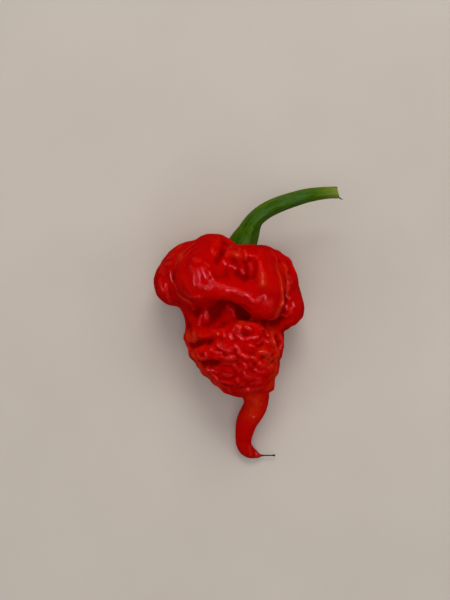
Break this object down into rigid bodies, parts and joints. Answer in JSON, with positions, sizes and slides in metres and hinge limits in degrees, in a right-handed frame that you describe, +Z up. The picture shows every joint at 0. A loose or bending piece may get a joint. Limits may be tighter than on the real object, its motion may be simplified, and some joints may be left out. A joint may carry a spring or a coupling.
{
  "type": "chilli pepper",
  "caption": "Red chilli pepper lying down, with crumpled shoulders, a waist, a pimpled body, a hooked tail and a curved green stalk.",
  "frame": {"origin": "middle of the underside of the whole pepper's bounding box, on the surface that it lies on", "axes": "+Z up from the surface; +Y from the hooked tail towards the stalk; +X to the side that the stalk bends to"},
  "size_m": [0.042, 0.062, 0.0242],
  "materials": {
    "red_skin": "waxy satin skin, crumpled and pimpled",
    "green_stalk": "smooth matt stalk with fine long ribs",
    "dry_thread": "dry and dull"
  },
  "bodies": {
    "root": {"pod": "red_skin", "calyx_and_stem": "green_stalk", "dried_style": "dry_thread"}
  },
  "joints": []
}
